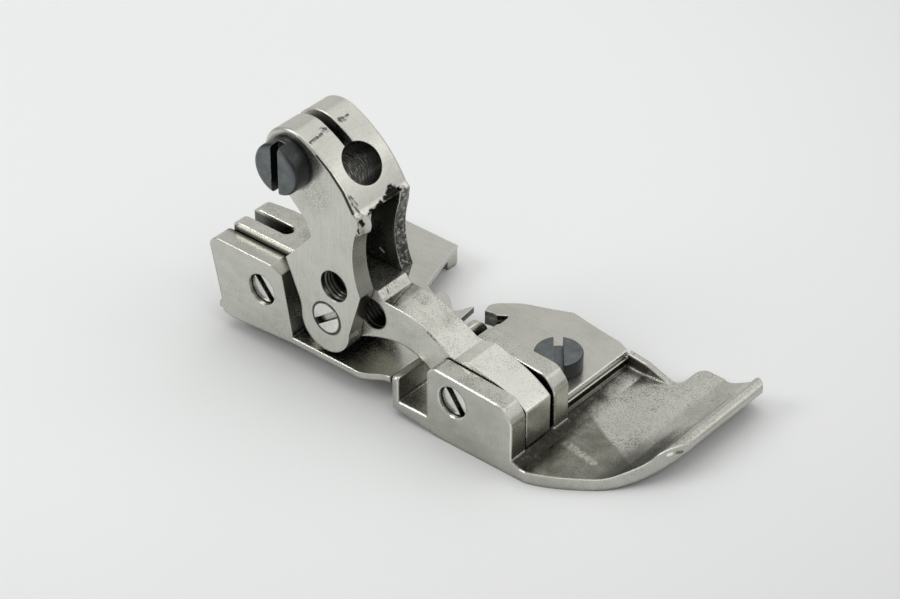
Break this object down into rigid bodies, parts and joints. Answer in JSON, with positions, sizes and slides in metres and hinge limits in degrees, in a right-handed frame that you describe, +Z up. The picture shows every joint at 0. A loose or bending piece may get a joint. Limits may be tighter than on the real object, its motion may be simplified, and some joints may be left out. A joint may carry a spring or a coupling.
{
  "type": "sewing machine presser foot",
  "caption": "Hinged metal presser foot with a split clamp crown on a folding shank, a bridge arm, a rear sole, and an up-curved toe sole with a hooked finger guard.",
  "frame": {"origin": "on the flat underside of the front sole, which stands on the table, below the front pivot pin and in the arm's middle plane", "axes": "+Z up from the table, +Y towards the heel end of the foot, +X across the foot towards the side of the finger guard"},
  "size_m": [0.0303, 0.06, 0.0321],
  "materials": {
    "shank_steel": "nickel plated casting, worn satin",
    "arm_steel": "nickel plated casting, worn and finely pitted",
    "rear_steel": "nickel plated, worn satin",
    "front_steel": "nickel plated, worn satin, dirty floor",
    "guard_steel": "nickel plated sheet, satin",
    "bright_pin": "turned steel",
    "black_screw": "black oxide, satin"
  },
  "bodies": {
    "arm": {"hinge_arm": "arm_steel"},
    "shank": {"shank": "shank_steel", "clamp_screw": "black_screw", "shank_pivot_screw": "bright_pin"},
    "front_sole": {"front_sole": "front_steel", "front_pivot_pin": "bright_pin", "guard_plate": "guard_steel", "guard_shim": "guard_steel", "guard_screw": "black_screw"},
    "rear_sole": {"rear_sole": "rear_steel", "rear_pivot_pin": "bright_pin"}
  },
  "joints": [
    {"name": "shank_pivot", "type": "hinge", "parent": "arm", "child": "shank", "pos_m": [0, 0.01906, 0.0086], "axis": [1, 0, 0], "range_deg": [-12, 57]},
    {"name": "front_sole_pivot", "type": "hinge", "parent": "arm", "child": "front_sole", "pos_m": [0, 0, 0.00607], "axis": [1, 0, 0], "range_deg": [-1.5, 15]},
    {"name": "rear_sole_pivot", "type": "hinge", "parent": "arm", "child": "rear_sole", "pos_m": [0, 0.02888, 0.0082], "axis": [1, 0, 0], "range_deg": [-3, 24]}
  ]
}
